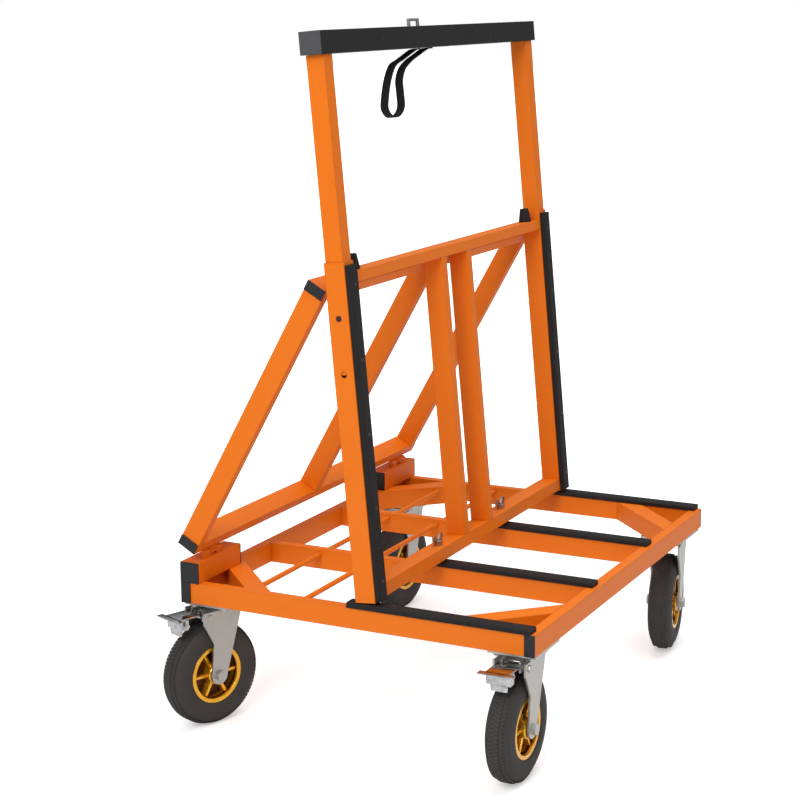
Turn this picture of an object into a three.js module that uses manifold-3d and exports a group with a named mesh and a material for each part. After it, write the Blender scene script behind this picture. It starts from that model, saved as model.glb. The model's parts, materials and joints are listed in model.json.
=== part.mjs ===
// Sheet goods cart: a wheeled tube base with a leaning, tilting support and a sliding upper frame.
// Millimetres, +Z up. Left is -X, right is +X, front (loading side) is -Y, rear is +Y.
import * as THREE from 'three';
import { mergeVertices } from 'three/addons/utils/BufferGeometryUtils.js';
import Module from 'manifold-3d';

const wasm = await Module();
wasm.setup();

// Driving dimensions of the base
const cartLength = 910;
const cartDepth = 728;
const tubeHeight = 40;
const tubeWidth = 20;
const tubeWall = 2;
const gap = 0.3;
const weldLap = 1;
const gussetReach = 176;
const gussetSize = 40;
const rodDiameter = 10;
const rodSetbacks = [135, 251];
const rodDrop = 10;
const stubSize = 40;
const stubLength = 148;

// Rubber strips on the deck and on the posts
const stripWidth = 28;
const stripThickness = 10;
const stripBevel = 3;
const stripFrontInset = 8;
const stripTail = 38;
const postStripWidth = 30;
const postStripTopDrop = 6;

// Casters
const wheelDiameter = 203;
const tyreWidth = 50;
const tyreShoulder = 20;
const tyreRoundness = 0.7;
const tyreProfileSteps = 10;
const tyreSides = 40;
const hubDiameter = 115;
const rimThickness = 8;
const rimWidth = 44;
const spokeCount = 6;
const spokeWidth = 9;
const spokeDepth = 30;
const hubWebThickness = 6;
const bossDiameter = 42;
const axleDiameter = 12;
const axleClearance = 0.3;
const boltHeadDiameter = 22;
const boltHeadThickness = 8;
const plateLength = 110;
const plateWidth = 92;
const plateThickness = 6;
const plateInsetY = 48;
const swivelInsetX = 62;
const casterHeight = 246;
const casterTrail = 31;
const raceDiameter = 66;
const raceThickness = 8;
const crownThickness = 6;
const crownWidth = 74;
const forkThickness = 4;
const forkClearance = 3;
const forkFootRadius = 18;
const forkBackReach = 24;
const forkNeckReach = 42;
const forkNeckRise = 64;
const forkBrowReach = 64;
const forkBrowRise = 106;
const kingPinDiameter = 14;
const kingPinLength = 24;
const frontLeftTurn = 180;
const rearLeftTurn = 159;
const frontRightTurn = 189;
const rearRightTurn = 177;

// Brake pedal of a left caster, sizes along the trailing direction from the king pin
const pedalPivotReach = 50;
const pedalPivotDrop = 26;
const pedalPinDiameter = 8;
const pedalTipReach = 127;
const pedalTipLength = 14;
const pedalTipWidth = 62;
const pedalWidth = 44;
const pedalThickness = 3;
const pedalBlockReach = 94;
const pedalBlockLength = 16;
const pedalBlockHeight = 22;
const pedalBlockWidth = 36;
const pedalTabThickness = 7;
const pedalTabHeight = 13;
const pedalTabWidth = 24;
const pedalLugWidth = 31;
const pedalEarLength = 50;
const pedalEarEdge = 8;

// Leaning support
const leanDegrees = 5;
const postDepth = 40;
const postWidth = 35;
const postLength = 620;
const supportSetback = 396;
const footLift = 2;
const lowCrossbarHeight = 25;
const lowCrossbarLift = 4;
const highCrossbarHeight = 20;
const postRise = 20;
const uprightSpacing = 113;
const lockHoleDiameter = 12;
const lockHoleDrop = 100;
const lockHolePitch = 100;
const bufferDiameter = 27;
const bufferTopDiameter = 18;
const bufferHeight = 28;
const bufferInset = 68;
const bufferFlutes = 12;
const bufferFluteDepth = 1.2;

// Sliding upper frame
const slideClearance = 0.5;
const innerPostLength = 560;
const barHeight = 40;
const barDepth = 42;
const barOverhang = 8;
const barTopHeight = 1020;
const eyeWidth = 42;
const eyeRise = 15;
const eyeWire = 5;
const eyeInset = 389;
const strapWidth = 16;
const strapThickness = 2.4;
const strapSteps = 44;

// Back frame and its hinges
const backLeanDegrees = 29.6;
const hingeSetback = 28;
const hingeRise = 9;
const hingeRadius = 6;
const hingePinDiameter = 6;
const hingeWidth = 62;
const hingeStubInset = 34;
const knuckleWidth = 20;
const knuckleGap = 0.5;
const hingeWeb = 9;
const hingePinClearance = 0.4;
const backTubeRise = 27;
const backTubeSetback = 9;

// Wing screws
const screwDiameter = 8;
const screwHoleDiameter = 14;
const screwReach = 44;
const collarDiameter = 18;
const collarHeight = 10;
const wingSpan = 40;
const wingHeight = 20;
const wingThickness = 4;

// Derived places
const lean = THREE.MathUtils.degToRad(leanDegrees);
const backLean = THREE.MathUtils.degToRad(backLeanDegrees);
const frontFace = -cartDepth / 2;
const baseBottom = casterHeight;
const baseTop = baseBottom + tubeHeight;
const deckTop = baseTop + gap + stripThickness;
const wheelRadius = wheelDiameter / 2;
const innerDepth = cartDepth - 2 * tubeWidth - 2 * gap;
const crossPitch = (cartLength - tubeWidth) / 3;
const crossPlaces = [-1.5, -0.5, 0.5, 1.5].map((step) => step * crossPitch);
const supportY = cartDepth / 2 - supportSetback;
const stripLength = supportY + stripTail - frontFace - stripFrontInset;
const supportZ = deckTop + gap;
const hingeY = cartDepth / 2 - hingeSetback;
const stubTop = baseTop + gap + stubSize;
const hingeZ = stubTop + hingeRise;
const lowCrossbarTop = lowCrossbarLift + lowCrossbarHeight;
const highCrossbarTop = postLength - postRise;
const postX = cartLength / 2 - postWidth / 2;
const crossbarLength = cartLength - 2 * postWidth - 2 * gap;

const finishes = {
  orange: { color: 0xef7c1a, roughness: 0.45, metalness: 0.0 },
  rubber: { color: 0x2a2829, roughness: 0.8, metalness: 0.0 },
  tyre: { color: 0x3a3836, roughness: 0.85, metalness: 0.0 },
  gold: { color: 0xe0a21c, roughness: 0.3, metalness: 0.8 },
  zinc: { color: 0xb9b9b4, roughness: 0.4, metalness: 0.9 },
  chrome: { color: 0xd8dadb, roughness: 0.15, metalness: 1.0 },
  black: { color: 0x1c1c1e, roughness: 0.5, metalness: 0.0 },
  webbing: { color: 0x141414, roughness: 0.9, metalness: 0.0 },
};

function part(name, finish, geometry, parent) {
  const mesh = new THREE.Mesh(geometry, new THREE.MeshStandardMaterial(finishes[finish]));
  mesh.name = name;
  parent.add(mesh);
  return mesh;
}

// Booleans on closed geometries
function solid(geometry) {
  const plain = geometry.index ? geometry.toNonIndexed() : geometry.clone();
  plain.deleteAttribute('normal');
  plain.deleteAttribute('uv');
  const merged = mergeVertices(plain, 1e-4);
  return new wasm.Manifold(new wasm.Mesh({
    numProp: 3,
    vertProperties: new Float32Array(merged.attributes.position.array),
    triVerts: new Uint32Array(merged.index.array),
  }));
}

function surface(body) {
  const mesh = body.getMesh();
  const geometry = new THREE.BufferGeometry();
  geometry.setAttribute('position', new THREE.BufferAttribute(new Float32Array(mesh.vertProperties), 3));
  geometry.setIndex(new THREE.BufferAttribute(new Uint32Array(mesh.triVerts), 1));
  return geometry;
}

function join(...pieces) {
  return surface(pieces.map(solid).reduce((sum, piece) => sum.add(piece)));
}

function cut(body, ...tools) {
  return surface(tools.map(solid).reduce((rest, tool) => rest.subtract(tool), solid(body)));
}

// Basic forms, each centred on the origin
function block(x, y, z) {
  return new THREE.BoxGeometry(x, y, z);
}

function rod(axis, diameter, length, sides = 24) {
  const geometry = new THREE.CylinderGeometry(diameter / 2, diameter / 2, length, sides);
  if (axis === 'x') geometry.rotateZ(Math.PI / 2);
  if (axis === 'z') geometry.rotateX(Math.PI / 2);
  return geometry;
}

function rectangle(width, height) {
  const shape = new THREE.Shape();
  shape.moveTo(-width / 2, -height / 2);
  shape.lineTo(width / 2, -height / 2);
  shape.lineTo(width / 2, height / 2);
  shape.lineTo(-width / 2, height / 2);
  shape.closePath();
  return shape;
}

// Hollow rectangular tube with open ends, its sides given across the two other axes in x, y, z order
function tube(axis, first, second, length) {
  const shape = rectangle(first, second);
  shape.holes.push(rectangle(first - 2 * tubeWall, second - 2 * tubeWall));
  return extrudeAlong(axis, shape, length);
}

// Outline in the plane across the axis, drawn with Z up for the axes x and y
function extrudeAlong(axis, shape, depth) {
  const geometry = new THREE.ExtrudeGeometry(shape, { depth, bevelEnabled: false, curveSegments: 10 });
  geometry.translate(0, 0, -depth / 2);
  if (axis === 'x') geometry.rotateX(Math.PI / 2).rotateZ(Math.PI / 2);
  if (axis === 'y') geometry.rotateX(Math.PI / 2);
  return geometry;
}

// Rubber strip: a flat bar with bevelled upper edges, lying along Y with its underside at z = 0
function strip(width, length) {
  const half = width / 2;
  const shape = new THREE.Shape();
  shape.moveTo(-half, 0);
  shape.lineTo(half, 0);
  shape.lineTo(half, stripThickness - stripBevel);
  shape.lineTo(half - stripBevel, stripThickness);
  shape.lineTo(stripBevel - half, stripThickness);
  shape.lineTo(-half, stripThickness - stripBevel);
  shape.closePath();
  return extrudeAlong('y', shape, length);
}

const cart = new THREE.Group();

// Base frame
function addBase() {
  const railZ = baseBottom + tubeHeight / 2;
  const railY = cartDepth / 2 - tubeWidth / 2;
  for (const [name, y] of [['front_rail', -railY], ['rear_rail', railY]]) {
    part(name, 'orange', tube('x', tubeWidth, tubeHeight, cartLength), cart).position.set(0, y, railZ);
  }
  const rodPlaces = rodSetbacks.map((setback) => cartDepth / 2 - setback);
  const rodZ = baseTop - rodDrop;
  const screwY = supportY;
  const shelf = shelfRods(rodPlaces, rodZ);
  crossPlaces.forEach((x, i) => {
    const name = ['left_rail', 'cross_rail_1', 'cross_rail_2', 'right_rail'][i];
    const rail = tube('y', tubeWidth, tubeHeight, innerDepth);
    if (name.startsWith('cross')) {
      const bore = rod('z', screwHoleDiameter, tubeHeight).translate(0, screwY, tubeHeight / 2);
      shelf.push(cut(rail, bore).translate(x, 0, railZ));
    } else {
      part(name, 'orange', rail, cart).position.set(x, 0, railZ);
    }
    let rubber = strip(stripWidth, stripLength);
    const stripY = frontFace + stripFrontInset + stripLength / 2;
    if (name.startsWith('cross')) {
      const bore = rod('z', screwHoleDiameter, 4 * stripThickness);
      rubber = cut(rubber, bore.translate(0, screwY - stripY, 0));
    }
    const label = ['deck_strip_left', 'deck_strip_1', 'deck_strip_2', 'deck_strip_right'][i];
    part(label, 'rubber', rubber, cart).position.set(x, stripY, baseTop + gap);
  });
  addGussets(railZ);
  part('shelf_frame', 'orange', join(...shelf), cart);
}

// Square tube across each corner, cut to lie against the two rails
function addGussets(railZ) {
  const span = 2 * gussetReach;
  const side = Math.SQRT1_2 * gussetReach;
  const corners = [
    [-1, -1, 0, 'front_left'], [1, -1, 1, 'front_right'], [1, 1, 2, 'rear_right'], [-1, 1, 3, 'rear_left'],
  ];
  for (const [sx, sy, quarters, place] of corners) {
    const bar = tube('y', gussetSize, gussetSize, span);
    bar.translate(side, 0, 0).rotateZ(Math.PI / 4);
    const trimX = block(span, 4 * span, span).translate(tubeWidth + gap - span / 2, 0, 0);
    const trimY = block(4 * span, span, span).translate(0, tubeWidth + gap - span / 2, 0);
    const geometry = cut(bar, trimX, trimY).rotateZ((quarters * Math.PI) / 2);
    const mesh = part(`gusset_${place}`, 'orange', geometry, cart);
    mesh.position.set(sx * cartLength / 2, sy * cartDepth / 2, railZ);
  }
}

// Shelf rods run through the cross rails and are welded to them; the rear one ends at the gussets
function shelfRods(places, z) {
  return places.map((y, i) => {
    const setback = rodSetbacks[i];
    const gussetEdge = gussetReach + gussetSize * Math.SQRT1_2;
    const inset = setback + tubeWidth < gussetEdge ? gussetEdge - setback + rodDiameter / 2 : tubeWidth;
    const length = cartLength - 2 * inset - 2 * gap;
    return rod('x', rodDiameter, length, 12).translate(0, y, z);
  });
}

// Casters: local +X is the trailing direction from the king pin to the wheel
function wheelParts(label, parent) {
  const profile = [];
  const inner = hubDiameter / 2 + gap;
  profile.push(new THREE.Vector2(inner, -tyreWidth / 2));
  for (let i = 0; i <= tyreProfileSteps; i += 1) {
    const angle = -Math.PI / 2 + (Math.PI * i) / tyreProfileSteps;
    const sine = Math.sin(angle);
    const across = (tyreWidth / 2) * Math.sign(sine) * Math.abs(sine) ** tyreRoundness;
    const rise = tyreShoulder * Math.max(0, Math.cos(angle)) ** tyreRoundness;
    profile.push(new THREE.Vector2(wheelRadius - tyreShoulder + rise, across));
  }
  profile.push(new THREE.Vector2(inner, tyreWidth / 2));
  profile.push(profile[0].clone());
  const place = (mesh) => mesh.position.set(casterTrail, 0, wheelRadius);
  place(part(`tyre_${label}`, 'tyre', new THREE.LatheGeometry(profile, tyreSides), parent));
  place(part(`hub_${label}`, 'gold', hubGeometry(), parent));
  place(part(`axle_${label}`, 'zinc', axleGeometry(), parent));
}

function hubGeometry() {
  const rimOuter = hubDiameter / 2;
  const rimInner = rimOuter - rimThickness;
  const ring = new THREE.Shape().absarc(0, 0, rimOuter, 0, 2 * Math.PI);
  ring.holes.push(new THREE.Path().absarc(0, 0, rimInner, 0, 2 * Math.PI));
  const web = rod('y', 2 * rimInner + rimThickness, hubWebThickness);
  const pieces = [extrudeAlong('y', ring, rimWidth), rod('y', bossDiameter, tyreWidth, 20), web];
  for (let i = 0; i < spokeCount; i += 1) {
    const reach = rimInner + rimThickness / 2;
    const spoke = block(reach, spokeDepth, spokeWidth).translate(reach / 2, 0, 0);
    pieces.push(spoke.rotateY((2 * Math.PI * i) / spokeCount));
  }
  return cut(join(...pieces), rod('y', axleDiameter + 2 * axleClearance, 2 * tyreWidth, 16));
}

function axleGeometry() {
  const legOuter = tyreWidth / 2 + forkClearance + forkThickness;
  const headY = legOuter + gap + boltHeadThickness / 2;
  const shank = rod('y', axleDiameter, 2 * (legOuter + gap) + boltHeadThickness, 16);
  const heads = [-headY, headY]
    .map((y) => rod('y', boltHeadDiameter, boltHeadThickness, 6).translate(0, y, 0));
  return join(shank, ...heads);
}

// Leg plate in the plane of the wheel: a round foot at the axle and two side outlines up to the crown
function forkLeg(backSide, frontSide, y) {
  const shape = new THREE.Shape();
  shape.moveTo(...backSide[0]);
  backSide.slice(1).forEach((point) => shape.lineTo(...point));
  shape.lineTo(casterTrail - forkFootRadius, wheelRadius);
  shape.absarc(casterTrail, wheelRadius, forkFootRadius, Math.PI, 2 * Math.PI);
  frontSide.forEach((point) => shape.lineTo(...point));
  shape.closePath();
  return extrudeAlong('y', shape, forkThickness).translate(0, y, 0);
}

function forkGeometry(topZ, backSide, frontSide, pieces) {
  const legY = tyreWidth / 2 + forkClearance + forkThickness / 2;
  const crown = block(crownWidth, 2 * legY + forkThickness, crownThickness);
  crown.translate(0, 0, topZ - crownThickness / 2);
  const bore = rod('y', axleDiameter + 2 * axleClearance, 4 * legY, 16);
  bore.translate(casterTrail, 0, wheelRadius);
  const legs = [legY, -legY].map((y) => forkLeg(backSide, frontSide, y));
  return cut(join(crown, ...legs, ...pieces), bore);
}

function addCaster(label, sx, sy, turnDegrees, braked) {
  const x = sx * (cartLength / 2 - swivelInsetX);
  const y = sy * (cartDepth / 2 - plateInsetY);
  const plateTop = baseBottom - gap;
  const raceBottom = plateTop - plateThickness - raceThickness;
  const raceHeight = raceThickness + weldLap;
  const plate = block(plateLength, plateWidth, plateThickness);
  plate.translate(0, 0, plateTop - plateThickness / 2);
  const race = rod('z', raceDiameter, raceHeight).translate(0, 0, raceBottom + raceHeight / 2);
  const kingPin = rod('z', kingPinDiameter, kingPinLength, 16);
  kingPin.translate(0, 0, raceBottom - kingPinLength / 2 + weldLap);
  part(`top_plate_${label}`, 'zinc', join(plate, race, kingPin), cart).position.set(x, y, 0);
  const caster = new THREE.Group();
  caster.position.set(x, y, 0);
  caster.rotation.z = THREE.MathUtils.degToRad(turnDegrees);
  cart.add(caster);
  const forkTop = raceBottom - gap;
  const earY = pedalLugWidth / 2 + gap + forkThickness / 2;
  const pivotZ = baseBottom - pedalPivotDrop;
  const earHeight = forkTop - pivotZ + pedalEarEdge;
  const earX = pedalPivotReach + pedalEarEdge - pedalEarLength / 2;
  const ear = (side) => block(pedalEarLength, forkThickness, earHeight)
    .translate(earX, side * earY, forkTop - earHeight / 2);
  const backSide = [[-forkBackReach, forkTop], [-forkBackReach, forkTop - crownThickness]];
  const frontSide = [
    [forkNeckReach, wheelRadius + forkNeckRise], [forkBrowReach, wheelRadius + forkBrowRise],
    [forkBrowReach, forkTop],
  ];
  const body = forkGeometry(forkTop, backSide, frontSide, braked ? [ear(1), ear(-1)] : []);
  const pin = rod('y', pedalPinDiameter + 2 * gap, plateWidth, 12).translate(pedalPivotReach, 0, pivotZ);
  const kingBore = rod('z', kingPinDiameter + 2 * gap, plateWidth, 16).translate(0, 0, forkTop);
  part(`fork_${label}`, 'zinc', cut(body, kingBore, ...(braked ? [pin] : [])), caster);
  wheelParts(label, caster);
  if (braked) part(`brake_pedal_${label}`, 'chrome', pedalGeometry(pivotZ), caster);
}

// Foot pedal with a brake block and tab over the tread, on a cross pin in the fork ears
function pedalGeometry(pivotZ) {
  const plateZ = pivotZ + pedalPinDiameter / 2 + pedalThickness;
  const plateStart = pedalPivotReach + pedalEarEdge + gap;
  const length = pedalTipReach - plateStart;
  const plate = block(length, pedalWidth, pedalThickness).translate(plateStart + length / 2, 0, plateZ);
  const lug = block(2 * pedalPinDiameter, pedalLugWidth, pedalPinDiameter + pedalThickness)
    .translate(pedalPivotReach + pedalPinDiameter / 2, 0, pivotZ + pedalThickness);
  const tip = block(pedalTipLength, pedalTipWidth, pedalThickness)
    .translate(pedalTipReach - pedalTipLength / 2, 0, plateZ);
  const blockEnd = pedalBlockReach + pedalBlockLength;
  const brakeBlock = block(pedalBlockLength, pedalBlockWidth, pedalBlockHeight)
    .translate(pedalBlockReach + pedalBlockLength / 2, 0, plateZ - pedalBlockHeight / 2);
  const tabHeight = pedalTabHeight + weldLap;
  const tab = block(pedalTabThickness, pedalTabWidth, tabHeight)
    .translate(blockEnd - pedalTabThickness / 2, 0, plateZ - pedalBlockHeight + weldLap - tabHeight / 2);
  const pin = rod('y', pedalPinDiameter, pedalLugWidth + 2 * gap + 2 * forkThickness, 12)
    .translate(pedalPivotReach, 0, pivotZ);
  return join(plate, tip, lug, brakeBlock, tab, pin);
}

// Hinge stubs on the rear rail with the lower hinge halves; knuckles turn about an axis along X
function addHingeStubs() {
  for (const [sx, place] of [[-1, 'left'], [1, 'right']]) {
    const stubX = sx * (cartLength - stubLength) / 2;
    const stubY = cartDepth / 2 - stubSize / 2;
    const stubZ = stubTop - stubSize / 2;
    const hingeX = sx * (cartLength / 2 - hingeStubInset - hingeWidth / 2);
    const knuckles = [-1, 1].flatMap((side) => {
      const x = hingeX + side * (hingeWidth - knuckleWidth) / 2;
      const barrel = rod('x', 2 * hingeRadius, knuckleWidth, 16).translate(x, hingeY, hingeZ);
      const web = block(knuckleWidth, hingeWeb, hingeRise + tubeWall / 2)
        .translate(x, hingeY, hingeZ - (hingeRise + tubeWall / 2) / 2);
      return [barrel, web];
    });
    const pin = rod('x', hingePinDiameter, hingeWidth, 12).translate(hingeX, hingeY, hingeZ);
    const stub = tube('x', stubSize, stubSize, stubLength).translate(stubX, stubY, stubZ);
    part(`hinge_stub_${place}`, 'orange', join(stub, ...knuckles, pin), cart);
  }
}

// Support group: local Z runs up the leaning posts, local Y = 0 is the middle of the posts
const support = new THREE.Group();
support.position.set(0, supportY, supportZ);
support.rotation.x = -lean;
cart.add(support);

function addSupport() {
  for (const [sx, place] of [[-1, 'left'], [1, 'right']]) {
    const holes = [0, 1].map((i) => rod('x', lockHoleDiameter, 4 * tubeWall, 16)
      .translate(sx * postWidth / 2, 0, postLength / 2 - lockHoleDrop - i * lockHolePitch));
    const post = cut(tube('z', postWidth, postDepth, postLength - footLift), ...holes);
    const postZ = footLift + (postLength - footLift) / 2;
    part(`post_${place}`, 'orange', post, support).position.set(sx * postX, 0, postZ);
    const stripRun = postLength - 2 * footLift - postStripTopDrop;
    const pad = strip(postStripWidth, stripRun).rotateX(Math.PI / 2);
    const padMesh = part(`post_strip_${place}`, 'rubber', pad, support);
    padMesh.position.set(sx * postX, -postDepth / 2 - gap, 2 * footLift + stripRun / 2);
    const uprightFoot = lowCrossbarTop + gap;
    const uprightRun = highCrossbarTop - highCrossbarHeight - gap - uprightFoot;
    const upright = tube('z', tubeWidth, postDepth, uprightRun);
    const uprightMesh = part(`upright_${place}`, 'orange', upright, support);
    uprightMesh.position.set(sx * uprightSpacing / 2, 0, uprightFoot + uprightRun / 2);
    const buffer = part(`buffer_${place}`, 'rubber', bufferGeometry(), support);
    buffer.position.set(sx * (cartLength / 2 - bufferInset), 0, highCrossbarTop + gap);
  }
  const screwHoles = crossPlaces.slice(1, 3).map((x) => rod('z', screwHoleDiameter, 4 * lowCrossbarHeight)
    .translate(x, 0, 0));
  const low = cut(tube('x', postDepth, lowCrossbarHeight, crossbarLength), ...screwHoles);
  part('lower_crossbar', 'orange', low, support).position.set(0, 0, lowCrossbarTop - lowCrossbarHeight / 2);
  const high = tube('x', postDepth, highCrossbarHeight, crossbarLength);
  const highMiddle = highCrossbarTop - highCrossbarHeight / 2;
  part('upper_crossbar', 'orange', high, support).position.set(0, 0, highMiddle);
  crossPlaces.slice(1, 3).forEach((x, i) => {
    const screw = part(`wing_screw_${['left', 'right'][i]}`, 'chrome', wingScrewGeometry(), support);
    screw.position.set(x, 0, lowCrossbarTop + gap);
  });
}

// Fluted, tapered rubber buffer standing on its base
function bufferGeometry() {
  const outline = (radius) => {
    const points = [];
    for (let i = 0; i < 2 * bufferFlutes; i += 1) {
      const angle = (Math.PI * i) / bufferFlutes;
      const reach = radius - (i % 2) * bufferFluteDepth;
      points.push(new THREE.Vector2(reach * Math.cos(angle), reach * Math.sin(angle)));
    }
    return points;
  };
  const geometry = new THREE.ExtrudeGeometry(new THREE.Shape(outline(bufferDiameter / 2)), {
    depth: bufferHeight, bevelEnabled: false,
  });
  const positions = geometry.attributes.position;
  const taper = 1 - bufferTopDiameter / bufferDiameter;
  for (let i = 0; i < positions.count; i += 1) {
    const shrink = 1 - (taper * positions.getZ(i)) / bufferHeight;
    positions.setXY(i, positions.getX(i) * shrink, positions.getY(i) * shrink);
  }
  return geometry;
}

// Wing screw with its collar on z = 0 and its shank below
function wingScrewGeometry() {
  const shank = rod('z', screwDiameter, screwReach + weldLap, 12);
  shank.translate(0, 0, (weldLap - screwReach) / 2);
  const collar = rod('z', collarDiameter, collarHeight, 16).translate(0, 0, collarHeight / 2);
  const wing = new THREE.Shape();
  wing.moveTo(-collarDiameter / 4, weldLap);
  wing.lineTo(collarDiameter / 4, weldLap);
  wing.lineTo(wingSpan / 2, wingHeight / 2);
  wing.lineTo(wingSpan / 2, wingHeight);
  wing.lineTo(wingSpan / 4, wingHeight);
  wing.lineTo(0, collarHeight);
  wing.lineTo(-wingSpan / 4, wingHeight);
  wing.lineTo(-wingSpan / 2, wingHeight);
  wing.lineTo(-wingSpan / 2, wingHeight / 2);
  wing.closePath();
  return join(shank, collar, extrudeAlong('y', wing, wingThickness));
}

// Sliding frame inside the posts
function addUpperFrame() {
  const barBottom = barTopHeight - barHeight;
  const innerWidth = postWidth - 2 * tubeWall - 2 * slideClearance;
  const innerDepthY = postDepth - 2 * tubeWall - 2 * slideClearance;
  for (const [sx, place] of [[-1, 'left'], [1, 'right']]) {
    const geometry = tube('z', innerWidth, innerDepthY, innerPostLength);
    const post = part(`inner_post_${place}`, 'orange', geometry, support);
    post.position.set(sx * postX, 0, barBottom - gap - innerPostLength / 2);
  }
  const bar = tube('x', barDepth, barHeight, cartLength + 2 * barOverhang);
  part('top_bar', 'black', bar, support).position.set(0, 0, barTopHeight - barHeight / 2);
  const loop = new THREE.Shape();
  loop.moveTo(-eyeWidth / 2, 0);
  loop.lineTo(eyeWire - eyeWidth / 2, 0);
  loop.lineTo(eyeWire - eyeWidth / 2, eyeRise - eyeWire);
  loop.lineTo(eyeWidth / 2 - eyeWire, eyeRise - eyeWire);
  loop.lineTo(eyeWidth / 2 - eyeWire, 0);
  loop.lineTo(eyeWidth / 2, 0);
  loop.lineTo(eyeWidth / 2, eyeRise);
  loop.lineTo(-eyeWidth / 2, eyeRise);
  loop.closePath();
  const eye = part('strap_eye', 'zinc', extrudeAlong('y', loop, eyeWire), support);
  eye.position.set(eyeInset - cartLength / 2, 0, barTopHeight + gap);
  const strap = part('strap', 'webbing', strapGeometry(), support);
  strap.position.set(eyeInset - cartLength / 2, 0, barBottom - gap);
}

// Webbing loop under the bar: its middle line in X and Z, measured from the underside of the bar
const strapRoute = [
  [6, -1.6], [-8, -2.6], [-34, -9.5], [-66, -19], [-100, -29], [-124, -54], [-142, -90], [-145, -106],
  [-128, -121], [-101, -121], [-80, -107], [-78, -80], [-78, -58], [-64, -38], [-34, -23], [0, -13],
  [25, -6], [42, -1.9], [60, -1.6],
];

function strapGeometry() {
  const route = strapRoute.map(([x, z]) => new THREE.Vector3(x, z, 0));
  const curve = new THREE.CatmullRomCurve3(route, false, 'centripetal');
  const sides = [[], []];
  for (let i = 0; i <= strapSteps; i += 1) {
    const point = curve.getPointAt(i / strapSteps);
    const along = curve.getTangentAt(i / strapSteps);
    const half = strapThickness / 2;
    sides[0].push(new THREE.Vector2(point.x - along.y * half, point.y + along.x * half));
    sides[1].push(new THREE.Vector2(point.x + along.y * half, point.y - along.x * half));
  }
  const outline = new THREE.Shape([...sides[0], ...sides[1].reverse()]);
  return extrudeAlong('y', outline, strapWidth);
}

// Back frame: a flat ladder of tubes from the hinges up to the backs of the posts
function addBackFrame() {
  const bottomY = hingeY + backTubeSetback;
  const bottomZ = hingeZ + backTubeRise;
  const up = new THREE.Vector2(-Math.sin(backLean), Math.cos(backLean));
  const front = new THREE.Vector2(-Math.cos(backLean), -Math.sin(backLean));
  const back = new THREE.Vector2(Math.cos(lean), -Math.sin(lean));
  const faceY = supportY + (postDepth / 2 + gap) * Math.cos(lean);
  const faceZ = supportZ - (postDepth / 2 + gap) * Math.sin(lean);
  const corner = front.clone().multiplyScalar(postDepth / 2).addScaledVector(up, tubeWidth / 2);
  const start = new THREE.Vector2(bottomY - faceY, bottomZ - faceZ).add(corner);
  const run = -start.dot(back) / up.dot(back);
  const frame = new THREE.Group();
  frame.position.set(0, bottomY, bottomZ);
  frame.rotation.x = backLean;
  cart.add(frame);
  const knuckleLength = hingeWidth - 2 * knuckleWidth - 2 * knuckleGap;
  const offset = new THREE.Vector2(hingeY - bottomY, hingeZ - bottomZ);
  const hingeLocal = new THREE.Vector2(-offset.dot(front), offset.dot(up));
  const knuckles = [-1, 1].flatMap((sx) => {
    const x = sx * (cartLength / 2 - hingeStubInset - hingeWidth / 2);
    const barrel = rod('x', 2 * hingeRadius, knuckleLength, 16).translate(x, hingeLocal.x, hingeLocal.y);
    const height = -hingeLocal.y - tubeWidth / 2 + tubeWall / 2;
    const web = block(knuckleLength, hingeWeb, height)
      .translate(x, hingeLocal.x, hingeLocal.y + height / 2);
    return [barrel, web];
  });
  const bores = [-1, 1].map((sx) => rod('x', hingePinDiameter + 2 * hingePinClearance, 2 * hingeWidth, 16)
    .translate(sx * (cartLength / 2 - hingeStubInset - hingeWidth / 2), hingeLocal.x, hingeLocal.y));
  const bottom = cut(join(tube('x', postDepth, tubeWidth, cartLength), ...knuckles), ...bores);
  part('back_bottom_tube', 'orange', bottom, frame);
  const top = tube('x', postDepth, tubeWidth, cartLength);
  part('back_top_tube', 'orange', top, frame).position.set(0, 0, run);
  const legRun = run - tubeWidth - 2 * gap;
  const legX = (cartLength - tubeWidth) / 2;
  for (const [x, place] of [[-legX, 'left'], [0, 'middle'], [legX, 'right']]) {
    const leg = part(`back_diagonal_${place}`, 'orange', tube('z', tubeWidth, postDepth, legRun), frame);
    leg.position.set(x, 0, run / 2);
  }
}

addBase();
addCaster('front_left', -1, -1, frontLeftTurn, true);
addCaster('rear_left', -1, 1, rearLeftTurn, true);
addCaster('front_right', 1, -1, frontRightTurn, false);
addCaster('rear_right', 1, 1, rearRightTurn, false);
addHingeStubs();
addSupport();
addUpperFrame();
addBackFrame();

// The origin is on the floor under the middle of the cart's box
cart.updateMatrixWorld(true);
const extent = new THREE.Box3().setFromObject(cart, true);
const middle = extent.getCenter(new THREE.Vector3());
cart.position.set(-middle.x, -middle.y, -extent.min.z);

export default cart;
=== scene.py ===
import json
import math
import bmesh
import bpy
from mathutils import Matrix, Vector


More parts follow.
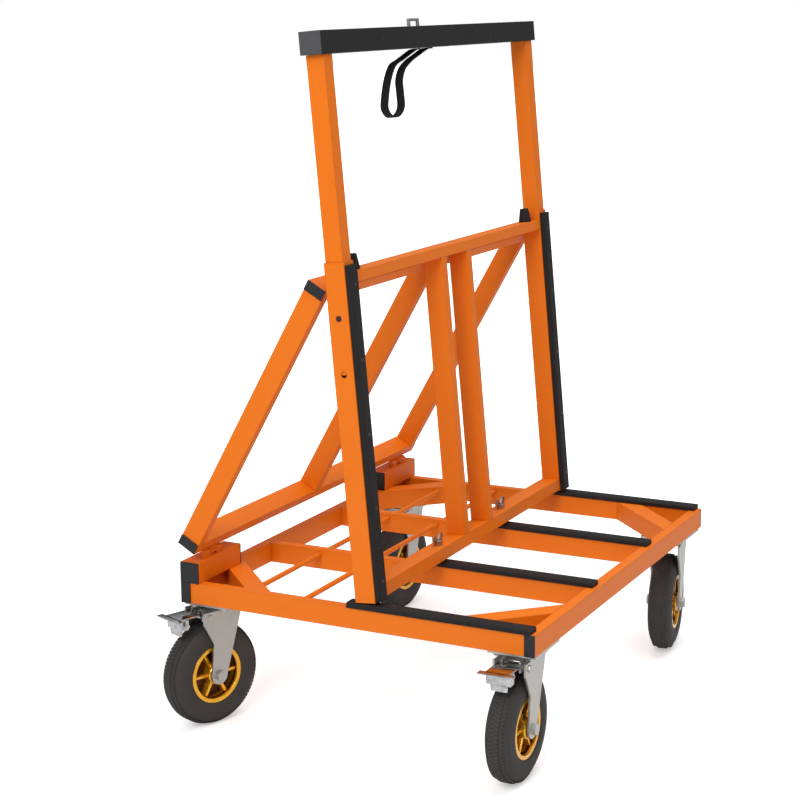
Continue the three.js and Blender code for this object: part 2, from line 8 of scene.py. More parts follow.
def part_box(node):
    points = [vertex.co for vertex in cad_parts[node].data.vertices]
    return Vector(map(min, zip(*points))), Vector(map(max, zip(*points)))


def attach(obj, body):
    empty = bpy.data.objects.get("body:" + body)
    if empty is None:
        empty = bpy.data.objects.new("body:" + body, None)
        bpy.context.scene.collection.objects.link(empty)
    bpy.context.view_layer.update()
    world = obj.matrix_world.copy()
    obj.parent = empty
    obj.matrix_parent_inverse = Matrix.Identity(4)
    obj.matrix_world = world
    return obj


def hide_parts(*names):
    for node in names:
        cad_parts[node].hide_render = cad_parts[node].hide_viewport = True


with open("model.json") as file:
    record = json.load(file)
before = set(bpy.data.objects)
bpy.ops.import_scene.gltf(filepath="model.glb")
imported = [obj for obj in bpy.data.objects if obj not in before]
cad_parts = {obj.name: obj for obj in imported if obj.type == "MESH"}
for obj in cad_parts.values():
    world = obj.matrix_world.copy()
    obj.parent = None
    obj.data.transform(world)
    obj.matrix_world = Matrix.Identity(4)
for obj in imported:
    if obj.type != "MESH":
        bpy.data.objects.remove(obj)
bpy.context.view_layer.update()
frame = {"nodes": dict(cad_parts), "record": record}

mm = 0.001
white = (1.0, 1.0, 1.0, 1.0)


# Point or size given in millimetres
def millimetres(x, y, z):
    return Vector((x * mm, y * mm, z * mm))


def addObject(name, data):
    made = bpy.data.objects.new(name, data)
    bpy.context.scene.collection.objects.link(made)
    return made


# Middle of the base on the floor, from the front rail's left end; places below are measured from it
baseSpec = {"length": 910, "depth": 728}
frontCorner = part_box("front_rail")[0]
baseMiddle = Vector((frontCorner[0], frontCorner[1], 0))
baseMiddle += millimetres(baseSpec["length"] / 2, baseSpec["depth"] / 2, 0)


# Camera, placed by a fit to the photograph
cameraSpec = {
    "place": baseMiddle + millimetres(-3323.9, -1574.3, 1371.9),
    "right": Vector((0.4537, -0.8911, -0.0096)),
    "up": Vector((0.1912, 0.0868, 0.9777)),
    "lens": 85.0,
    "sensor": 36.0,
    "clipEnd": 100,
}


def addCamera(spec):
    data = bpy.data.cameras.new("camera")
    data.lens = spec["lens"]
    data.sensor_width = spec["sensor"]
    data.clip_end = spec["clipEnd"]
    camera = addObject("camera", data)
    back = spec["right"].cross(spec["up"]).normalized()
    up = back.cross(spec["right"]).normalized()
    right = up.cross(back)
    turn = Matrix((right, up, back)).transposed().to_4x4()
    camera.matrix_world = Matrix.Translation(spec["place"]) @ turn
    bpy.context.scene.camera = camera


addCamera(cameraSpec)
bpy.context.scene.view_settings.view_transform = "Standard"
print("stage: camera")


# Values that all the finishes share
finishSpec = {
    "cloudDetail": 4.0, "grainDetail": 2.0, "bumpDepth": 0.4 * mm, "edgeSamples": 4, "specular": 0.5,
    "coatRough": 0.2,
}


# Linear colour of an sRGB hex value
def srgb(hexText):
    values = [int(hexText[i:i + 2], 16) / 255 for i in (0, 2, 4)]
    linear = [v / 12.92 if v <= 0.04045 else ((v + 0.055) / 1.055) ** 2.4 for v in values]
    return (*linear, 1.0)


def setInputs(node, values):
    for key, value in values.items():
        node.inputs[key].default_value = value


# Adds a node with its input values, its links and its settings
def addNode(tree, kind, values=None, links=None, settings=None):
    node = tree.nodes.new(kind)
    for key, value in (settings or {}).items():
        setattr(node, key, value)
    setInputs(node, values or {})
    for key, source in (links or {}).items():
        tree.links.new(source, node.inputs[key])
    return node


def openMaterial(name):
    material = bpy.data.materials.new(name)
    material.use_nodes = True
    tree = material.node_tree
    return material, tree, tree.nodes["Principled BSDF"]


# A surface finish: base colour with a faint cloudy change, a fine bump, and rounded edges
def makeFinish(spec):
    material, tree, shader = openMaterial(spec["name"])
    setInputs(shader, {
        "Metallic": spec.get("metallic", 0.0),
        "Specular IOR Level": spec.get("specular", finishSpec["specular"]),
        "Coat Weight": spec.get("coat", 0.0),
        "Coat Roughness": finishSpec["coatRough"],
    })
    coords = addNode(tree, "ShaderNodeTexCoord").outputs["Object"]
    cloud = addNode(tree, "ShaderNodeTexNoise", {
        "Scale": 1 / (spec["cloudSize"] * mm), "Detail": finishSpec["cloudDetail"],
    }, {"Vector": coords}).outputs["Fac"]
    mix = addNode(tree, "ShaderNodeMix", settings={"data_type": "RGBA"})
    sockets = {s.identifier: s for s in [*mix.inputs, *mix.outputs]}
    sockets["A_Color"].default_value = srgb(spec["low"])
    sockets["B_Color"].default_value = srgb(spec["high"])
    tree.links.new(cloud, sockets["Factor_Float"])
    tree.links.new(sockets["Result_Color"], shader.inputs["Base Color"])
    low, high = spec["rough"]
    rough = addNode(tree, "ShaderNodeMapRange", {"To Min": low, "To Max": high}, {"Value": cloud})
    tree.links.new(rough.outputs["Result"], shader.inputs["Roughness"])
    stretch = addNode(tree, "ShaderNodeMapping", {"Scale": spec.get("stretch", (1, 1, 1))},
                      {"Vector": coords})
    grain = addNode(tree, "ShaderNodeTexNoise", {
        "Scale": 1 / (spec["grainSize"] * mm), "Detail": finishSpec["grainDetail"],
    }, {"Vector": stretch.outputs["Vector"]})
    rounded = addNode(tree, "ShaderNodeBevel", {"Radius": spec["edge"] * mm},
                      settings={"samples": finishSpec["edgeSamples"]})
    bump = addNode(tree, "ShaderNodeBump", {"Strength": spec["grain"], "Distance": finishSpec["bumpDepth"]},
                   {"Height": grain.outputs["Fac"], "Normal": rounded.outputs["Normal"]})
    tree.links.new(bump.outputs["Normal"], shader.inputs["Normal"])
    return material


# Satin orange powder coat on welded steel tube
orange = makeFinish({"name": "orangePowderCoat", "low": "E36E08", "high": "EA770C", "rough": (0.42, 0.54),
                     "cloudSize": 180, "grainSize": 0.7, "grain": 0.12, "edge": 2.0, "specular": 0.26})
# Matt black rubber of the strips and buffers
rubber = makeFinish({"name": "blackStripRubber", "low": "1B191A", "high": "232121", "rough": (0.55, 0.7),
                     "cloudSize": 60, "grainSize": 1.2, "grain": 0.2, "edge": 1.2, "specular": 0.22})
# Dark grey tyre rubber, slightly dusty
tyreRubber = makeFinish({"name": "greyTyreRubber", "low": "33312F", "high": "3D3B39", "rough": (0.6, 0.78),
                         "cloudSize": 45, "grainSize": 1.5, "grain": 0.25, "edge": 0.6, "specular": 0.35})
# Bright gold lacquer on the cast hub
gold = makeFinish({"name": "goldLacquerHub", "low": "E6A116", "high": "FFC42A", "rough": (0.2, 0.32),
                   "cloudSize": 30, "grainSize": 2.0, "grain": 0.05, "edge": 1.0, "metallic": 0.75,
                   "coat": 0.6})
# Painted shade: dark bronze colour on the web and rim liner in the depth of the hub, between the spokes,
# standing for the shade that falls there
hubPaintedShade = makeFinish({"name": "paintedShadeHubRecess", "low": "3A1C08", "high": "5C300C", "rough": (0.25, 0.4),
                     "cloudSize": 14, "grainSize": 2.0, "grain": 0.05, "edge": 0.5, "metallic": 0.6})
# Satin zinc plate on pressed steel
zinc = makeFinish({"name": "satinZincPlate", "low": "B4B4AF", "high": "C4C4C0", "rough": (0.32, 0.46),
                   "cloudSize": 25, "grainSize": 0.8, "grain": 0.1, "edge": 1.0, "metallic": 0.85})
# Bright chrome plate on the pedals and wing screws
chrome = makeFinish({"name": "brightChromePlate", "low": "6E7072", "high": "E6E8EA", "rough": (0.08, 0.16),
                     "cloudSize": 11, "grainSize": 2.0, "grain": 0.03, "edge": 1.0, "metallic": 1.0})
# Matt black coat of the top bar
barBlack = makeFinish({"name": "mattBlackCoat", "low": "1E1E1F", "high": "252526", "rough": (0.5, 0.65),
                       "cloudSize": 120, "grainSize": 0.8, "grain": 0.15, "edge": 2.0, "specular": 0.22})
# Black plastic of the tube end caps
capPlastic = makeFinish({"name": "blackCapPlastic", "low": "222225", "high": "28282C", "rough": (0.42, 0.55),
                         "cloudSize": 40, "grainSize": 0.9, "grain": 0.12, "edge": 1.5, "specular": 0.3})
# Worn grey-black plastic in the ends of the top bar
barEnd = makeFinish({"name": "greyBarEndPlastic", "low": "414144", "high": "4A4A4E", "rough": (0.45, 0.6),
                     "cloudSize": 40, "grainSize": 0.9, "grain": 0.12, "edge": 1.5})
# Black woven webbing
webbing = makeFinish({"name": "blackWebbing", "low": "121213", "high": "1B1B1C", "rough": (0.75, 0.9),
                      "cloudSize": 12, "grainSize": 1.0, "grain": 0.6, "edge": 0.4, "specular": 0.25,
                      "stretch": (0.4, 1.0, 0.4)})
# Dark steel of the small screws
darkSteel = makeFinish({"name": "darkScrewSteel", "low": "3A3A3C", "high": "4A4A4C", "rough": (0.3, 0.45),
                        "cloudSize": 10, "grainSize": 1.0, "grain": 0.05, "edge": 0.5, "metallic": 0.8})

finishOfSlot = {
    "orange_paint": orange, "strip_rubber": rubber, "tyre_rubber": tyreRubber, "hub_gold": gold,
    "zinc_steel": zinc, "chrome_steel": chrome, "bar_black": barBlack, "strap_webbing": webbing,
}
for entry in frame["record"]["subparts"]:
    for slotOfNode in frame["nodes"][entry["node"]].material_slots:
        slotOfNode.material = finishOfSlot[entry["material_slot"]]
print("stage: materials")


# Shared ways to make and hang pieces
def finishPiece(name, mesh, material, body):
    mesh.materials.clear()
    mesh.materials.append(material)
    piece = addObject(name, mesh)
    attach(piece, body)
    return piece


def meshFrom(form, name):
    mesh = bpy.data.meshes.new(name)
    form.normal_update()
    form.to_mesh(mesh)
    form.free()
    return mesh


# Closed form to a mesh with its faces turned outwards
def closedMesh(form, name):
    bmesh.ops.recalc_face_normals(form, faces=form.faces)
    return meshFrom(form, name)


def joinMeshes(meshes, name):
    form = bmesh.new()
    for mesh in meshes:
        form.from_mesh(mesh)
    return meshFrom(form, name)


# Smooth faces, with the edges sharp that bend by more than the angle in degrees
def smooth(mesh, angle=35):
    for polygon in mesh.polygons:
        polygon.use_smooth = True
    mesh.set_sharp_from_angle(angle=math.radians(angle))
    return mesh


# Box with rounded edges, copied into the form
def addBox(form, place, size, edge):
    box = bmesh.new()
    bmesh.ops.create_cube(box, size=1.0)
    bmesh.ops.scale(box, vec=size, verts=box.verts)
    bmesh.ops.bevel(box, geom=box.edges[:], offset=edge, segments=2, affect="EDGES", profile=0.5)
    box.transform(place)
    box.verts.index_update()
    made = [form.verts.new(vert.co) for vert in box.verts]
    for face in box.faces:
        form.faces.new([made[vert.index] for vert in face.verts])
    box.free()


# Four-sided faces between two rings of equal count
def bridgeRings(form, here, there):
    count = len(here)
    for i in range(count):
        j = (i + 1) % count
        form.faces.new((here[i], there[i], there[j], here[j]))


# Profile of (radius, across) in millimetres, turned about Y; it closes on itself
def addLathe(form, profile, segments, turn):
    rings = []
    for i in range(segments):
        angle = 2 * math.pi * i / segments
        cosine, sine = math.cos(angle), math.sin(angle)
        ring = []
        for radius, across in profile:
            spot = Vector((radius * mm * cosine, across * mm, radius * mm * sine))
            ring.append(form.verts.new(turn @ spot))
        rings.append(ring)
    for i in range(segments):
        bridgeRings(form, rings[i], rings[(i + 1) % segments])


def middle(node):
    low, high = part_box(node)
    return (Vector(low) + Vector(high)) / 2


# Starts a Geometry Nodes tree with the named inputs
def openTree(name, inputs):
    tree = bpy.data.node_groups.new(name, "GeometryNodeTree")
    tree.interface.new_socket("Geometry", in_out="OUTPUT", socket_type="NodeSocketGeometry")
    for label, kind in inputs.items():
        tree.interface.new_socket(label, in_out="INPUT", socket_type=f"NodeSocket{kind}")
    return tree, addNode(tree, "NodeGroupInput").outputs


# Ends a tree: the copies are made real and get their finish
def closeTree(tree, copies, finish):
    real = addNode(tree, "GeometryNodeRealizeInstances", None, {"Geometry": copies})
    paint = addNode(tree, "GeometryNodeSetMaterial", None, {
        "Geometry": real.outputs["Geometry"], "Material": finish})
    addNode(tree, "NodeGroupOutput", None, {"Geometry": paint.outputs["Geometry"]})


# Geometry Nodes tree: equal cylinders in a straight row
def makeRowTree():
    tree, given = openTree("rowOfHeads", {
        "Count": "Int", "Start": "Vector", "Step": "Vector", "Turn": "Vector", "Sides": "Int",
        "Radius": "Float", "Height": "Float", "Finish": "Material",
    })
    line = addNode(tree, "GeometryNodeMeshLine", None, {
        "Count": given["Count"], "Start Location": given["Start"], "Offset": given["Step"],
    }, {"mode": "OFFSET"})
    head = addNode(tree, "GeometryNodeMeshCylinder", None, {
        "Vertices": given["Sides"], "Radius": given["Radius"], "Depth": given["Height"]})
    place = addNode(tree, "GeometryNodeInstanceOnPoints", None, {
        "Points": line.outputs["Mesh"], "Instance": head.outputs["Mesh"], "Rotation": given["Turn"]})
    closeTree(tree, place.outputs["Instances"], given["Finish"])
    return tree


# Geometry Nodes tree: blocks in a ring about Y, turned and moved to their wheel
def makeRingTree():
    tree, given = openTree("ringOfBlocks", {
        "Count": "Int", "Radius": "Float", "Block": "Vector", "Across": "Float", "Phase": "Float",
        "Turn": "Vector", "Place": "Vector", "Finish": "Material",
    })
    points = addNode(tree, "GeometryNodePoints", None, {"Count": given["Count"]})
    times = {"operation": "MULTIPLY"}
    index = addNode(tree, "GeometryNodeInputIndex").outputs["Index"]
    shifted = addNode(tree, "ShaderNodeMath", None, {0: index, 1: given["Phase"]}, {"operation": "ADD"})
    share = addNode(tree, "ShaderNodeMath", None, {
        0: shifted.outputs["Value"], 1: given["Count"],
    }, {"operation": "DIVIDE"})
    angle = addNode(tree, "ShaderNodeMath", {1: 2 * math.pi}, {0: share.outputs["Value"]}, times)
    reach = []
    for wave in ("COSINE", "SINE"):
        part = addNode(tree, "ShaderNodeMath", None, {0: angle.outputs["Value"]}, {"operation": wave})
        scaled = addNode(tree, "ShaderNodeMath", None, {0: part.outputs["Value"], 1: given["Radius"]}, times)
        reach.append(scaled.outputs["Value"])
    spot = addNode(tree, "ShaderNodeCombineXYZ", None, {"X": reach[0], "Y": given["Across"], "Z": reach[1]})
    seated = addNode(tree, "GeometryNodeSetPosition", None, {
        "Geometry": points.outputs["Geometry"], "Position": spot.outputs["Vector"]})
    opposite = addNode(tree, "ShaderNodeMath", {1: -1.0}, {0: angle.outputs["Value"]}, times)
    lean = addNode(tree, "ShaderNodeCombineXYZ", None, {"Y": opposite.outputs["Value"]})
    block = addNode(tree, "GeometryNodeMeshCube", None, {"Size": given["Block"]})
    place = addNode(tree, "GeometryNodeInstanceOnPoints", None, {
        "Points": seated.outputs["Geometry"], "Instance": block.outputs["Mesh"],
        "Rotation": lean.outputs["Vector"]})
    moved = addNode(tree, "GeometryNodeTransform", None, {
        "Geometry": place.outputs["Instances"], "Translation": given["Place"], "Rotation": given["Turn"]})
    closeTree(tree, moved.outputs["Geometry"], given["Finish"])
    return tree


rowTree = makeRowTree()
ringTree = makeRingTree()


# Runs a tree with the given inputs and returns its mesh
def grow(tree, values):
    carrier = addObject("carrier", bpy.data.meshes.new("carrier"))
    modifier = carrier.modifiers.new("grow", "NODES")
    modifier.node_group = tree
    keys = {s.name: s.identifier for s in tree.interface.items_tree if s.in_out == "INPUT"}
    for name, value in values.items():
        modifier[keys[name]] = value
    bpy.context.view_layer.update()
    seen = carrier.evaluated_get(bpy.context.evaluated_depsgraph_get())
    mesh = bpy.data.meshes.new_from_object(seen)
    carrier.modifiers.remove(modifier)
    bpy.data.objects.remove(carrier)
    return mesh


# Row of equal heads; the spec has their sides, radius and height
def headRow(spec, count, start, step, turn, finish):
    return grow(rowTree, {
        "Count": count, "Start": tuple(start), "Step": tuple(step), "Turn": turn, "Sides": spec["sides"],
        "Radius": spec["radius"], "Height": spec["height"], "Finish": finish,
    })


# Leans in degrees, and the frame of the support from the middle of its foot
leanSpec = {"support": -5, "back": 29.6, "foot": (0, -32.0, 296.6)}
supportLean = Matrix.Rotation(math.radians(leanSpec["support"]), 4, "X")
backLean = Matrix.Rotation(math.radians(leanSpec["back"]), 4, "X")
supportFrame = Matrix.Translation(baseMiddle + millimetres(*leanSpec["foot"])) @ supportLean
level = Matrix.Identity(4)
quarter = math.radians(90)
facingUp = (0.0, 0.0, 0.0)
facingFront = (math.radians(90 + leanSpec["support"]), 0.0, 0.0)
facingSide = (0.0, quarter, 0.0)

# Tube end caps: a plate over each open end, standing slightly proud.
# Each tube has its label, body, middle, length, depth and height, and lean
railLength = baseSpec["length"]
stubDrop = millimetres(0, 0, 7.5)
capSpec = {
    "thickness": 3.0 * mm, "lip": 0.4 * mm, "edge": 1.0 * mm,
    "tubes": [
        ("FrontRail", "base", middle("front_rail"), railLength, (20, 40), level),
        ("RearRail", "base", middle("rear_rail"), railLength, (20, 40), level),
        ("StubLeft", "base", middle("hinge_stub_left") - stubDrop, 148, (40, 40), level),
        ("StubRight", "base", middle("hinge_stub_right") - stubDrop, 148, (40, 40), level),
        ("BackTop", "support", middle("back_top_tube"), railLength, (40, 20), backLean),
        ("BackBottom", "support", baseMiddle + millimetres(0, 345.0, 362.3), railLength, (40, 20), backLean),
        ("Bar", "upper_frame", middle("top_bar"), 926, (42, 40), supportLean),
    ],
}
for label, body, centre, length, (depth, height), turn in capSpec["tubes"]:
    for side, word in ((-1, "Left"), (1, "Right")):
        form = bmesh.new()
        reach = side * (length / 2 * mm + capSpec["thickness"] / 2)
        size = Vector((capSpec["thickness"], depth * mm + capSpec["lip"], height * mm + capSpec["lip"]))
        addBox(form, Matrix.Translation(centre + Vector((reach, 0, 0))) @ turn, size, capSpec["edge"])
        finish = barEnd if label == "Bar" else capPlastic
        finishPiece(f"cap{label}{word}", meshFrom(form, "cap"), finish, body)
print("stage: end caps")


# Wheels: smooth tyre with shallow tread blocks, cast hub with spokes.
# The wall has radius and setback from the side, from the bead to the middle of the tread.
# A tread row has its place across, its phase and its radius
wheelSpec = {
    "turns": {"front_left": 180, "rear_left": 159, "front_right": 189, "rear_right": 177},
    "half": 25.0, "segments": 112, "tyreAngle": 60, "treadAngle": 40,
    "wall": [(57.8, 2.5), (60, 1.0), (66, 0.2), (74, 0), (82, 0.8), (88, 3.0), (93, 6.4), (96.5, 10.5),
             (98.8, 15.5), (100.8, 22)],
    "treadCount": 84, "treadBlock": (2.0, 7.6, 6.4),
    "treadRows": [(-13.0, 0.0, 97.0), (-4.6, 0.5, 100.1), (4.6, 0.0, 100.1), (13.0, 0.5, 97.0)],
    "rimOuter": 57.5, "rimInner": 48.8, "rimHalf": 22.5, "rimEdge": 1, "rimWaist": 0.5, "rimBite": 8,
    "rimSegments": 72,
    "bossRadius": 20.0, "bossHalf": 25.0, "bossEdge": 2, "bore": 6.3, "bossSegments": 48,
    "spokes": 6, "spokeWidth": 6.5, "spokeHalf": 17.0, "spokeRoot": 3, "spokeGap": 1.5, "spokeEdge": 1.2,
    "webHalf": 3.0, "webLap": 1, "liner": 0.6, "linerSetback": 5, "recessSegments": 64,
}


def tyreMesh(spec, turn):
    form = bmesh.new()
    wall = [(radius, setback - spec["half"]) for radius, setback in spec["wall"]]
    farWall = [(radius, -across) for radius, across in reversed(wall)]
    addLathe(form, wall + farWall, spec["segments"], turn)
    return smooth(closedMesh(form, "tyre"), spec["tyreAngle"])


def hubMesh(spec, turn):
    form = bmesh.new()
    outer, inner, half = spec["rimOuter"], spec["rimInner"], spec["rimHalf"]
    edge, waist = spec["rimEdge"], spec["rimWaist"]
    lip = [(outer, edge), (outer - edge, 0), (inner + edge, 0), (inner, edge),
           (inner - waist, spec["rimBite"])]
    near = [(radius, setback - half) for radius, setback in lip]
    far = [(radius, half - setback) for radius, setback in reversed(lip)]
    addLathe(form, near + [(inner - 2 * waist, 0)] + far, spec["rimSegments"], turn)
    boss, deep, bore, edge = spec["bossRadius"], spec["bossHalf"], spec["bore"], spec["bossEdge"]
    core = [(bore, -deep), (boss - edge, -deep), (boss, -deep + edge), (boss, deep - edge),
            (boss - edge, deep), (bore, deep)]
    addLathe(form, core, spec["bossSegments"], turn)
    start, end = boss - spec["spokeRoot"], inner - spec["spokeGap"]
    size = Vector((end - start, 2 * spec["spokeHalf"], spec["spokeWidth"])) * mm
    outward = Matrix.Translation((0.5 * (start + end) * mm, 0, 0))
    for i in range(spec["spokes"]):
        spin = Matrix.Rotation(2 * math.pi * i / spec["spokes"], 4, "Y")
        addBox(form, turn @ spin @ outward, size, spec["spokeEdge"] * mm)
    return smooth(closedMesh(form, "hub"))


# Dark web between the spokes, with a thin liner on the rim at both sides of it; their dark colour is painted
# shade for the depth of the hub
def recessMesh(spec, turn):
    form = bmesh.new()
    deep, inside, outside = spec["webHalf"], spec["bossRadius"] - spec["webLap"], spec["rimInner"]
    web = [(inside, -deep), (outside, -deep), (outside, deep), (inside, deep)]
    addLathe(form, web, spec["recessSegments"], turn)
    liner = outside - spec["liner"]
    for side in (-1, 1):
        near, far = side * deep, side * (spec["rimHalf"] - spec["linerSetback"])
        band = [(liner, near), (outside, near), (outside, far), (liner, far)]
        addLathe(form, band, spec["recessSegments"], turn)
    return smooth(closedMesh(form, "hubPaintedShade"))


def treadMeshes(spec, centre, angle):
    block = tuple(millimetres(*spec["treadBlock"]))
    return [grow(ringTree, {
        "Count": spec["treadCount"], "Radius": radius * mm, "Block": block, "Across": across * mm,
        "Phase": phase, "Turn": (0.0, 0.0, angle), "Place": tuple(centre), "Finish": tyreRubber,
    }) for across, phase, radius in spec["treadRows"]]


for corner, degrees in wheelSpec["turns"].items():
    centre = middle(f"axle_{corner}")
    angle = math.radians(degrees)
    turn = Matrix.Translation(centre) @ Matrix.Rotation(angle, 4, "Z")
    body = f"wheel_{corner}"
    whole = joinMeshes([tyreMesh(wheelSpec, turn), *treadMeshes(wheelSpec, centre, angle)], f"tyre_{corner}")
    smooth(whole, wheelSpec["treadAngle"])
    tyre = finishPiece(f"tyre{corner}", whole, tyreRubber, body)
    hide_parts(f"tyre_{corner}")
    hub = finishPiece(f"hub{corner}", hubMesh(wheelSpec, turn), gold, body)
    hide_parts(f"hub_{corner}")
    # The web and liner carry the painted shade of the hub's depth
    finishPiece(f"hubRecessShade{corner}", recessMesh(wheelSpec, turn), hubPaintedShade, body)
print("stage: wheels")


# Brake pedals: pressed plate with a wide lip, folded channel and tab, turning on a cross pin.
# Each part is centre and size along the trailing direction, the axle and up, with its edge radius
pedalSpec = {
    "parts": {
        "plate": ((88.5, 0, 227), (60, 46, 3), 1.2),
        "lip": ((120, 0, 227), (14, 68, 3), 1.4),
        "knuckle": ((54, 0, 223), (16, 31, 11), 2.0),
        "apron": ((108.5, 0, 214.7), (3.4, 48, 21.6), 1.6),
        "cheekLeft": ((102, 22.9, 215.5), (16, 2.2, 20), 0.9),
        "cheekRight": ((102, -22.9, 215.5), (16, 2.2, 20), 0.9),
        "tab": ((106.5, 0, 199), (7, 32, 14), 2.4),
        "channelFloor": ((101, 0, 206), (13, 45, 3), 1.2),
    },
    "pinReach": 50, "pinZ": 220, "pinRadius": 4.0, "pinCore": 0.01, "pinHalf": 19.8, "pinSegments": 20,
    "angle": 30,
}
pedalBoltSpec = {"half": 33.6, "sides": 6, "radius": 6.5 * mm, "height": 3.4 * mm}


def pedalMesh(spec, turn, spin):
    form = bmesh.new()
    for spot, size, edge in spec["parts"].values():
        addBox(form, Matrix.Translation(turn @ millimetres(*spot)) @ spin, millimetres(*size), edge * mm)
    core, radius, half = spec["pinCore"], spec["pinRadius"], spec["pinHalf"]
    pin = [(core, -half), (radius, -half), (radius, half), (core, half)]
    pinTurn = turn @ Matrix.Translation(millimetres(spec["pinReach"], 0, spec["pinZ"]))
    addLathe(form, pin, spec["pinSegments"], pinTurn)
    return smooth(closedMesh(form, "pedal"), spec["angle"])


for corner in ("front_left", "rear_left"):
    angle = math.radians(wheelSpec["turns"][corner])
    plate = middle(f"top_plate_{corner}")
    spin = Matrix.Rotation(angle, 4, "Z")
    turn = Matrix.Translation(Vector((plate.x, plate.y, 0))) @ spin
    mesh = pedalMesh(pedalSpec, turn, spin)
    pedal = finishPiece(f"brakePedal{corner}", mesh, chrome, f"pedal_{corner}")
    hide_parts(f"brake_pedal_{corner}")
    half = pedalBoltSpec["half"]
    start = turn @ millimetres(pedalSpec["pinReach"], -half, pedalSpec["pinZ"])
    step = spin @ millimetres(0, 2 * half, 0)
    bolts = headRow(pedalBoltSpec, 2, start, step, (quarter, 0.0, angle), zinc)
    finishPiece(f"pedalBolts{corner}", bolts, zinc, f"swivel_{corner}")
print("stage: brake pedals")


# Bolts of the caster plates, two rows of hexagon heads under each plate
boltSpec = {"spread": (84, 66), "z": 236.6 * mm, "sides": 6, "radius": 7.0 * mm, "height": 6.0 * mm}
for corner in wheelSpec["turns"]:
    centre = middle(f"top_plate_{corner}")
    across, along = boltSpec["spread"]
    rows = []
    for side in (-1, 1):
        start = (centre.x - across / 2 * mm, centre.y + side * along / 2 * mm, boltSpec["z"])
        rows.append(headRow(boltSpec, 2, start, (across * mm, 0.0, 0.0), facingUp, zinc))
    finishPiece(f"plateBolts{corner}", joinMeshes(rows, "bolts"), zinc, "base")

# Countersunk screws that hold the rubber strips
screwSpec = {
    "sides": 16, "radius": 3.6 * mm, "height": 1.0 * mm,
    "deckCount": 3, "deckSetback": 0.03, "deckStep": 0.12,
    "postCount": 5, "postPlace": (437.5, -30.3, 40), "postStep": 135,
}
rows = []
for strip in ("deck_strip_left", "deck_strip_1", "deck_strip_2", "deck_strip_right"):
    low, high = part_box(strip)
    start = ((low[0] + high[0]) / 2, low[1] + screwSpec["deckSetback"], high[2])
    step = (0.0, screwSpec["deckStep"], 0.0)
    rows.append(headRow(screwSpec, screwSpec["deckCount"], start, step, facingUp, darkSteel))
finishPiece("deckStripScrews", joinMeshes(rows, "screws"), darkSteel, "base")
rows = []
for side in (-1, 1):
    x, y, z = screwSpec["postPlace"]
    start = supportFrame @ millimetres(side * x, y, z)
    step = supportLean @ millimetres(0, 0, screwSpec["postStep"])
    rows.append(headRow(screwSpec, screwSpec["postCount"], start, step, facingFront, darkSteel))
finishPiece("postStripScrews", joinMeshes(rows, "screws"), darkSteel, "support")

# Lock screws in the upper holes of the posts, sunk below the outer face
lockSpec = {"x": 452.2, "z": 520, "sides": 20, "radius": 5.4 * mm, "height": 2.4 * mm}
rows = []
for side in (-1, 1):
    start = supportFrame @ millimetres(side * lockSpec["x"], 0, lockSpec["z"])
    rows.append(headRow(lockSpec, 1, start, (0.0, 0.0, 0.0), facingSide, darkSteel))
finishPiece("lockScrews", joinMeshes(rows, "screws"), darkSteel, "support")

# Two screws in the front of the top bar
barScrewSpec = {
    "place": (-235, -21, 1000), "spread": 470 * mm, "sides": 16, "radius": 3.2 * mm, "height": 1.2 * mm,
}
start = supportFrame @ millimetres(*barScrewSpec["place"])
barRow = headRow(barScrewSpec, 2, start, (barScrewSpec["spread"], 0.0, 0.0), facingFront, darkSteel)
finishPiece("barScrews", barRow, darkSteel, "upper_frame")
print("stage: bolts and screws")


# Strap: flat webbing on the same line as its solid, hanging in a loop from the underside of the bar
strapSpec = {
    "origin": (-66.0, 979.7), "width": 16.0 * mm, "thickness": 2.2 * mm, "spanSteps": 16,
    "route": [(6, -1.6), (-8, -2.6), (-34, -9.5), (-66, -19), (-100, -29), (-124, -54), (-142, -90),
              (-145, -106), (-128, -121), (-101, -121), (-80, -107), (-78, -80), (-78, -58), (-64, -38),
              (-34, -23), (0, -13), (25, -6), (42, -1.9), (60, -1.6)],
}


# Point that is at first when here is start, and at second when here is end
def blend(first, second, start, end, here):
    return first * ((end - here) / (end - start)) + second * ((here - start) / (end - start))


# Centripetal curve through the points of the route
def strapLine(spec):
    route = [Vector(point) for point in spec["route"]]
    route = [2 * route[0] - route[1]] + route + [2 * route[-1] - route[-2]]
    steps = spec["spanSteps"]
    line = []
    for i in range(1, len(route) - 2):
        near = route[i - 1:i + 3]
        knots = [0.0]
        for first, second in zip(near, near[1:]):
            knots.append(knots[-1] + (second - first).length ** 0.5)
        for step in range(steps):
            here = knots[1] + (knots[2] - knots[1]) * step / steps
            once = [blend(near[j], near[j + 1], knots[j], knots[j + 1], here) for j in range(3)]
            twice = [blend(once[j], once[j + 1], knots[j], knots[j + 2], here) for j in range(2)]
            line.append(blend(*twice, knots[1], knots[2], here))
    line.append(route[-2])
    return line


flatLine = strapLine(strapSpec)
originX, originZ = strapSpec["origin"]
wide = strapSpec["width"] / mm / 2
form = bmesh.new()
rings = []
for i, spot in enumerate(flatLine):
    before, after = flatLine[max(i - 1, 0)], flatLine[min(i + 1, len(flatLine) - 1)]
    along = (after - before).normalized()
    off = Vector((-along.y, along.x)) * strapSpec["thickness"] / mm / 2
    ring = []
    for side, across in ((1, -wide), (1, wide), (-1, wide), (-1, -wide)):
        edge = spot + side * off
        ring.append(form.verts.new(supportFrame @ millimetres(edge.x + originX, across, edge.y + originZ)))
    rings.append(ring)
for here, there in zip(rings, rings[1:]):
    bridgeRings(form, here, there)
form.faces.new(rings[0])
form.faces.new(list(reversed(rings[-1])))
mesh = smooth(closedMesh(form, "strap"))
strap = finishPiece("strapWebbing", mesh, webbing, "upper_frame")
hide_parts("strap")


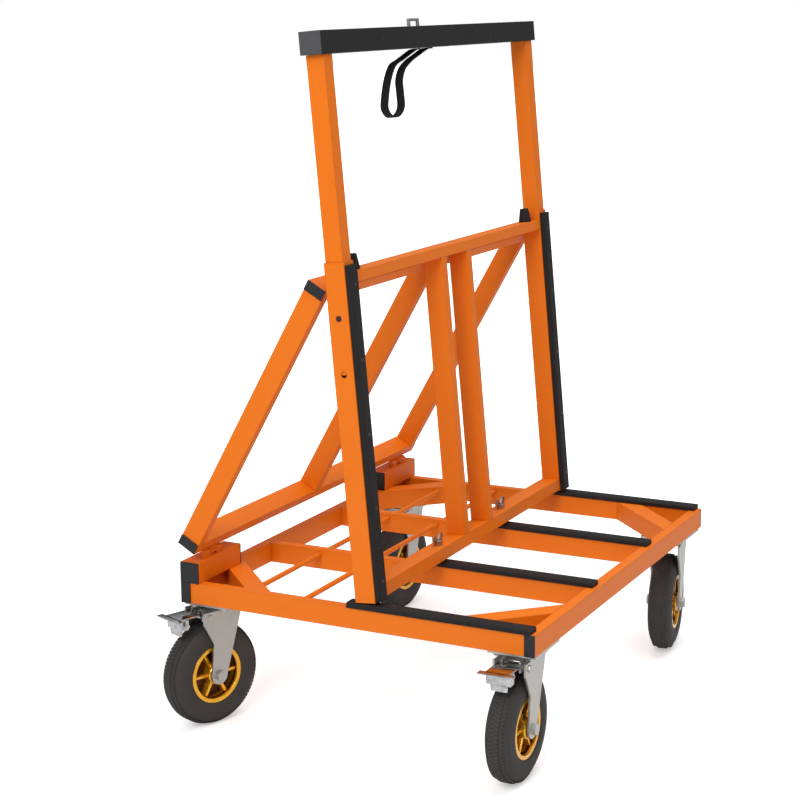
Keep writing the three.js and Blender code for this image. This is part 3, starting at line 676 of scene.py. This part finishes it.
# Floor: pale, with a glow for the eye alone that grows away from the cart
floorSpec = {
    "half": 30.0, "z": -0.0005, "colour": (0.86, 0.86, 0.86, 1.0), "rough": 0.8, "specular": 0.1,
    "glow": {"From Min": 0.7, "From Max": 2.2, "To Min": 0.42, "To Max": 1.0},
}


def addFloor(spec):
    mesh = bpy.data.meshes.new("floor")
    half, z = spec["half"], spec["z"]
    corners = [(-half, -half, z), (half, -half, z), (half, half, z), (-half, half, z)]
    mesh.from_pydata(corners, [], [(0, 1, 2, 3)])
    material, tree, shader = openMaterial("paleStudioFloor")
    setInputs(shader, {
        "Base Color": spec["colour"], "Roughness": spec["rough"], "Specular IOR Level": spec["specular"],
        "Emission Color": white,
    })
    coords = addNode(tree, "ShaderNodeTexCoord").outputs["Object"]
    away = addNode(tree, "ShaderNodeVectorMath", None, {0: coords}, {"operation": "LENGTH"})
    glow = addNode(tree, "ShaderNodeMapRange", spec["glow"], {"Value": away.outputs["Value"]})
    eye = addNode(tree, "ShaderNodeLightPath").outputs["Is Camera Ray"]
    toEye = addNode(tree, "ShaderNodeMath", None, {0: glow.outputs["Result"], 1: eye},
                    {"operation": "MULTIPLY"})
    tree.links.new(toEye.outputs["Value"], shader.inputs["Emission Strength"])
    mesh.materials.append(material)
    floor = addObject("floor", mesh)


# World: white to the eye; the object sees a studio that is bright above and darker at eye level.
# The stops are height, from straight down to straight up, and grey
worldSpec = {
    "strength": 0.75,
    "stops": ((0.0, 0.6), (0.45, 0.4), (0.53, 0.16), (0.66, 0.4), (0.85, 0.9), (1.0, 1.0)),
}


def addWorld(spec):
    world = bpy.data.worlds.new("studio")
    world.use_nodes = True
    tree = world.node_tree
    seen = tree.nodes["Background"]
    setInputs(seen, {"Color": white, "Strength": 1.0})
    coords = addNode(tree, "ShaderNodeTexCoord").outputs["Generated"]
    height = addNode(tree, "ShaderNodeSeparateXYZ", None, {"Vector": coords}).outputs["Z"]
    share = addNode(tree, "ShaderNodeMapRange", {"From Min": -1.0, "From Max": 1.0}, {"Value": height})
    ramp = addNode(tree, "ShaderNodeValToRGB", None, {"Fac": share.outputs["Result"]})
    band = ramp.color_ramp
    while len(band.elements) < len(spec["stops"]):
        band.elements.new(0.5)
    for element, (spot, grey) in zip(band.elements, spec["stops"]):
        element.position = spot
        element.color = (grey, grey, grey, 1.0)
    around = addNode(tree, "ShaderNodeBackground", {"Strength": spec["strength"]},
                     {"Color": ramp.outputs["Color"]})
    eye = addNode(tree, "ShaderNodeLightPath").outputs["Is Camera Ray"]
    mix = addNode(tree, "ShaderNodeMixShader", None, {
        "Fac": eye, 1: around.outputs["Background"], 2: seen.outputs["Background"]})
    tree.links.new(mix.outputs["Shader"], tree.nodes["World Output"].inputs["Surface"])
    bpy.context.scene.world = world


# Lights: name, place, target, size and power
lightSpec = [
    ("keyLight", (-4.4, -0.6, 3.4), (0, 0, 0.5), 2.5, 132),
    ("topLight", (0.5, -0.5, 4.5), (0, 0, 0.3), 3.5, 80),
    ("fillLight", (1.5, -4.5, 1.6), (0, 0, 0.4), 2.5, 9),
]


def addArea(name, place, target, size, power):
    data = bpy.data.lights.new(name, "AREA")
    data.shape = "DISK"
    data.size = size
    data.energy = power
    light = addObject(name, data)
    light.location = place
    light.rotation_euler = (Vector(target) - Vector(place)).to_track_quat("-Z", "Y").to_euler()


addFloor(floorSpec)
addWorld(worldSpec)
for light in lightSpec:
    addArea(*light)
print("stage: floor and light")
